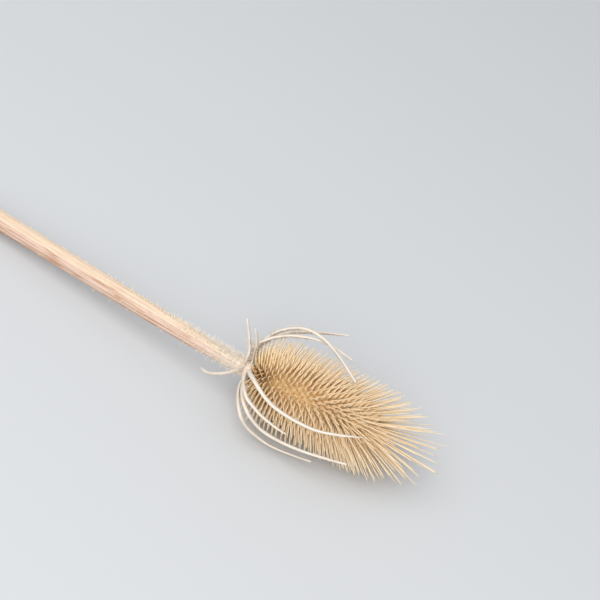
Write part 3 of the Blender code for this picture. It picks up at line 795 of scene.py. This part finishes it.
class TEASEL_OT_stem(Operator):
    """Makes the ribbed stalk with its collar"""

    bl_idname = "teasel.stem"
    bl_label = "Make the stalk"

    def execute(self, context):
        stem = context.scene.teasel_stem
        line = StemLine()
        # The rings run backwards, from a whole turn down to none, so that the skin faces outwards.
        shares = 1 - np.arange(stem.sides + 1) / stem.sides
        rings = [
            [line.surface(travelled, 2 * math.pi * share)[0] for share in shares[:-1]]
            for travelled in np.linspace(0, line.length, stem.rounds).tolist()
        ]
        faces, uvs = tube(
            rings, lambda row, column: (shares[column], 0.02 + 0.96 * row / (stem.rounds - 1)),
            lambda row, corner: (shares[corner], 0.0 if row == 0 else 1.0), ends=(False, True))
        points = [tuple(point) for ring in rings for point in ring]
        start = len(points)
        middle, side_way, top_way, direction = line.frame(0.0)
        rims = ((0.80, 0.0), (0.76, 0.9), (0.0, 1.1))
        pith_at = []
        for share, depth in rims[:2]:
            pith_at.append(len(points))
            for side in range(stem.sides):
                corner = rings[0][side]
                inner = middle + (corner - middle) * share + direction * depth * MM
                points.append(tuple(inner))
        points.append(tuple(middle + direction * rims[2][1] * MM))
        centre = len(points) - 1
        loops = [0, start, start + stem.sides]
        for outer, inner, low in ((loops[0], loops[1], 0.002), (loops[1], loops[2], 0.008)):
            for side in range(stem.sides):
                following = (side + 1) % stem.sides
                faces.append((outer + following, outer + side, inner + side, inner + following))
                left, right = shares[side], shares[side + 1]
                uvs += [(right, low), (left, low), (left, low + 0.005), (right, low + 0.005)]
        for side in range(stem.sides):
            following = (side + 1) % stem.sides
            faces.append((loops[2] + following, loops[2] + side, centre))
            halfway = (shares[side] + shares[side + 1]) / 2
            uvs += [(shares[side + 1], 0.014), (shares[side], 0.014), (halfway, 0.019)]
        finish = stalk_finish(stem)
        _, _, along = finish.map_place()
        base = finish.shader.inputs["Base Color"].links[0].from_socket
        inside = finish.node("ShaderNodeMath", {"operation": "LESS_THAN"}, {0: along, 1: 0.0195})
        finish.wear("Base Color", finish.mix(inside, Wire(finish, base), stem.pith_colour))
        make_piece("stalk", points, faces, uvs, finish, "stalk", "stem")
        return {"FINISHED"}


def tuft_finish(name, root, tip, roughness=0.6):
    """A finish that pales from root to point, by the map's height alone."""
    finish = Finish(name, roughness)
    _, _, up = finish.map_place()
    ramp = finish.node("ShaderNodeValToRGB", {"stops": stops((0.0, root), (0.6, tip))}, {"Fac": up})
    finish.wear("Base Color", ramp)
    return finish


class TEASEL_OT_prickles(Operator):
    """Sets short prickles on the stalk's ribs and fine hairs below its collar"""

    bl_idname = "teasel.prickles"
    bl_label = "Set prickles and hairs"

    def execute(self, context):
        stem = context.scene.teasel_stem
        line = StemLine()
        draw = random.Random(SEED)
        floor = -AXIS_HEIGHT + 0.15 * MM
        prickles = SpineSet()
        for index in range(stem.prickle_count):
            share = 0.03 + 0.93 * ((index + draw.random()) / stem.prickle_count) ** 0.42
            travelled = share * (line.length - COLLAR_LENGTH)
            rib = round((1.15 * math.pi + draw.gauss(0, 1.2)) * STEM_RIBS / (2 * math.pi))
            turn = 2 * math.pi * rib / STEM_RIBS + draw.gauss(0, 0.12)
            root, outward, direction = line.surface(travelled, turn)
            lean = (outward - direction * draw.uniform(0.05, 0.55)).normalized()
            length = draw.uniform(0.7, 2.0) * MM * (0.5 + 0.5 * share)
            if (root + lean * length).z > floor:
                prickles.add(
                    root, lean, direction, length, draw.uniform(0.10, 0.16) * MM, draw.uniform(0.2, 0.45) * MM,
                    hook=draw.uniform(-0.18, 0.02))
        finish = tuft_finish("prickles", stem.ridge_and_lit_top_colour, (0.93, 0.83, 0.67))
        add_spines("stalk_prickles", prickles, finish, "stalk")
        hairs = SpineSet()
        for _ in range(stem.hair_count):
            to_neck = COLLAR_LENGTH * 0.4 + abs(draw.gauss(0, 1)) * 15 * MM
            if to_neck > 48 * MM:
                continue
            turn = 1.12 * math.pi + draw.gauss(0, 1.0)
            root, outward, direction = line.surface(line.length - to_neck, turn)
            side = outward.cross(direction)
            lean = outward - direction * draw.uniform(-0.2, 0.7) + side * draw.gauss(0, 0.25)
            lean.normalize()
            length = draw.uniform(1.2, 3.3) * MM * (1 - 0.4 * to_neck / (48 * MM))
            if (root + lean * length).z > floor:
                hairs.add(root, lean, direction, length, 0.11 * MM, 0.12 * MM, hook=draw.gauss(0, 0.25), sides=3)
        finish = tuft_finish("hairs", (0.90, 0.80, 0.66), (0.98, 0.92, 0.82))
        add_spines("stalk_hairs", hairs, finish, "stalk")
        return {"FINISHED"}


def bract_finish(settings):
    """Cream-white with faint darker stretches and fibres along the blade."""
    finish = Finish("dry bract", 0.68)
    _, around, along = finish.map_place()
    stretches = finish.noise(finish.vector(around * 1.5, along * 7.0), 1.0, 3.0)
    fibres = finish.noise(finish.vector(around * 26.0, along * 5.0, 6.0), 1.0, 2.0)
    stained = finish.node(
        "ShaderNodeMapRange", {"interpolation_type": "SMOOTHSTEP"},
        {0: stretches * 0.6 + fibres * 0.4, 1: 0.44, 2: 0.68, 3: 0.0, 4: 0.75})
    finish.wear("Base Color", finish.mix(stained, settings.colour, settings.shade_colour))
    return finish


class TEASEL_OT_bracts(Operator):
    """Sweeps the bracts out of the collar and round the head"""

    bl_idname = "teasel.bracts"
    bl_label = "Sweep the bracts"

    def execute(self, context):
        settings = context.scene.teasel_bracts
        finish = bract_finish(settings)
        for number, route in enumerate(BRACT_ROUTES, 1):
            self.sweep(number, route, settings, finish)
        return {"FINISHED"}

    @staticmethod
    def sweep(number, route, settings, finish):
        draw = random.Random(SEED * 100 + number)
        step = 0.45 * MM
        middles = [Vector(point) for point in smooth_route(bract_corners(route, 1.3 * MM), step)]
        last = len(middles) - 1
        blunt = number in (2, 4, 6)
        rings, thorns = [], SpineSet()
        phase = draw.uniform(0, 20)
        for index, middle in enumerate(middles):
            share = index / last
            direction = (middles[min(index + 1, last)] - middles[max(index - 1, 0)]).normalized()
            outward = Vector((0, middle.y, middle.z)).normalized()
            across = Vector((1, 0, 0)).cross(outward)
            across = (across - direction * across.dot(direction)).normalized()
            face_out = across.cross(direction)
            twist = 0.5 * noise.noise(Vector((share * 3.0, phase, 0.3)))
            across, face_out = (
                across * math.cos(twist) + face_out * math.sin(twist),
                face_out * math.cos(twist) - across * math.sin(twist),
            )
            width = float(np.interp(
                share, (0, 0.05, 0.12, 0.3, 1),
                (settings.root_width * 1.7, settings.root_width * 1.25, settings.root_width, settings.width, settings.tip_width)))
            width *= 1 + 0.10 * noise.noise(Vector((share * 14, phase, 5.0)))
            taper = 1.0
            if not blunt:
                taper = float(np.interp(share, (0, 0.9, 1), (1, 1, 0.25)))
            half = width * taper / 2
            thick = float(np.interp(share, (0, 0.1, 0.5, 1), (0.95, 0.85, 0.75, 0.5))) * MM
            curl = half * 0.45
            profile = (
                (-1.0, 1.0, -0.2), (-0.5, 0.32, 0.5), (0.0, 0.0, 0.5), (0.5, 0.32, 0.5), (1.0, 1.0, -0.2),
                (0.5, 0.25, -0.5), (0.0, -0.1, -0.9), (-0.5, 0.25, -0.5),
            )
            rings.append([
                middle + across * (half * side) + face_out * (-curl * up + thick * level + curl * 0.4)
                for side, up, level in profile
            ])
            rough = number in PRICKLY_BRACTS and share < 0.6
            for edge, way in ((0, -across), (4, across), (2, face_out), (6, -face_out)):
                chance = 0.5 if rough else 0.31 if edge in (0, 4) else 0.0
                if not (0.04 < share < 0.97) or draw.random() > chance:
                    continue
                lean = (way + direction * draw.uniform(0.1, 0.9) + face_out * draw.gauss(0, 0.4)).normalized()
                reach = draw.uniform(0.9, 2.3) if rough else draw.uniform(0.25, 0.75)
                thorns.add(
                    rings[-1][edge], lean, direction, reach * MM, (0.20 if rough else 0.085) * MM, 0.2 * MM,
                    sides=3, sink=0.12 * MM, spot=(0.93, share * 0.35))
        corners = len(rings[0])
        faces, uvs = tube(
            rings, lambda row, column: (0.9 * column / corners, 0.01 + 0.97 * row / last),
            lambda row, corner: (0.9 * corner / corners, 0.005 if row == 0 else 0.995))
        points = [tuple(point) for ring in rings for point in ring]
        start = len(points)
        points += [tuple(point) for point in thorns.points]
        faces += [tuple(corner + start for corner in face) for face in thorns.faces]
        uvs += thorns.uvs
        name = f"bract_{number:02d}"
        make_piece(f"{name}_blade", points, faces, uvs, finish, "bracts", name)


class TEASEL_OT_stage(Operator):
    """Sets the floor, the soft lights and the camera"""

    bl_idname = "teasel.stage"
    bl_label = "Set the stage"

    def execute(self, context):
        stage = context.scene.teasel_stage
        self.floor(stage)
        self.lights(context.scene)
        self.camera(context.scene, stage)
        return {"FINISHED"}

    @staticmethod
    def floor(stage):
        data = bpy.data.meshes.new("floor")
        reach = 4.0
        data.from_pydata([(-reach, -reach, 0), (reach, -reach, 0), (reach, reach, 0), (-reach, reach, 0)], [], [(0, 1, 2, 3)])
        finish = Finish("plain floor", 0.9)
        finish.wear("Base Color", (*stage.floor_colour, 1))
        data.materials.append(finish.material)
        floor = bpy.data.objects.new("floor", data)
        bpy.context.scene.collection.objects.link(floor)

    @staticmethod
    def lights(scene):
        for name, place, size, power in (
            ("key", (-0.35, -0.30, 0.95), 1.0, 5.4),
            ("fill", (0.20, -0.95, 0.80), 1.2, 8.8),
        ):
            data = bpy.data.lights.new(name, "AREA")
            data.shape = "DISK"
            data.size = size
            data.energy = power
            lamp = bpy.data.objects.new(name, data)
            lamp.location = place
            aim = NECK + Vector((0.03, 0, 0)) - Vector(place)
            lamp.rotation_euler = aim.to_track_quat("-Z", "Y").to_euler()
            scene.collection.objects.link(lamp)
        world = bpy.data.worlds.new("soft room")
        world.use_nodes = True
        background = world.node_tree.nodes["Background"]
        background.inputs["Color"].default_value = (0.93, 0.96, 1.0, 1)
        background.inputs["Strength"].default_value = 0.66
        scene.world = world
        scene.view_settings.view_transform = "Standard"

    @staticmethod
    def camera(scene, stage):
        turn, rise, roll = (math.radians(angle) for angle in (stage.camera_turn, stage.camera_rise, stage.camera_roll))
        view = Vector((-math.sin(turn) * math.cos(rise), math.cos(turn) * math.cos(rise), -math.sin(rise)))
        right = Vector((math.cos(turn), math.sin(turn), 0))
        up = right.cross(view)
        rolled_right = right * math.cos(roll) + up * math.sin(roll)
        rolled_up = up * math.cos(roll) - right * math.sin(roll)
        target = Vector((NECK.x - 3.4 * MM, NECK.y + 61.4 * MM, 0))
        place = target - view * stage.camera_distance
        data = bpy.data.cameras.new("camera")
        data.sensor_fit = "AUTO"
        data.angle = math.radians(stage.camera_field)
        data.clip_start = 0.01
        camera = bpy.data.objects.new("camera", data)
        rows = Matrix((rolled_right, rolled_up, -view)).transposed().to_4x4()
        camera.matrix_world = Matrix.Translation(place) @ rows
        scene.collection.objects.link(camera)
        scene.camera = camera


class TEASEL_PT_panel(Panel):
    """Lists the teasel's pieces and their settings"""

    bl_idname = "TEASEL_PT_panel"
    bl_label = "Teasel"
    bl_space_type = "VIEW_3D"
    bl_region_type = "UI"
    bl_category = "Teasel"

    def draw(self, context):
        for settings, operators in PIECES:
            box = self.layout.box()
            group = getattr(context.scene, settings)
            for name in group.__annotations__:
                box.prop(group, name)
            for operator in operators:
                box.operator(operator)


PIECES = (
    ("teasel_head", ("teasel.core", "teasel.scales")),
    ("teasel_stem", ("teasel.stem", "teasel.prickles")),
    ("teasel_bracts", ("teasel.bracts",)),
    ("teasel_stage", ("teasel.stage",)),
)
GROUPS = {
    "teasel_head": TeaselHeadSettings,
    "teasel_stem": TeaselStemSettings,
    "teasel_bracts": TeaselBractSettings,
    "teasel_stage": TeaselStageSettings,
}
CLASSES = (
    *GROUPS.values(), TEASEL_OT_core, TEASEL_OT_scales, TEASEL_OT_stem, TEASEL_OT_prickles,
    TEASEL_OT_bracts, TEASEL_OT_stage, TEASEL_PT_panel,
)


def register():
    for kind in CLASSES:
        bpy.utils.register_class(kind)
    for name, group in GROUPS.items():
        setattr(bpy.types.Scene, name, PointerProperty(type=group))


def unregister():
    for name in GROUPS:
        delattr(bpy.types.Scene, name)
    for kind in reversed(CLASSES):
        bpy.utils.unregister_class(kind)


def main():
    register()
    for _, operators in PIECES:
        for operator in operators:
            family, name = operator.split(".")
            getattr(getattr(bpy.ops, family), name)()
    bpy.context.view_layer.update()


if __name__ == "__main__":
    main()
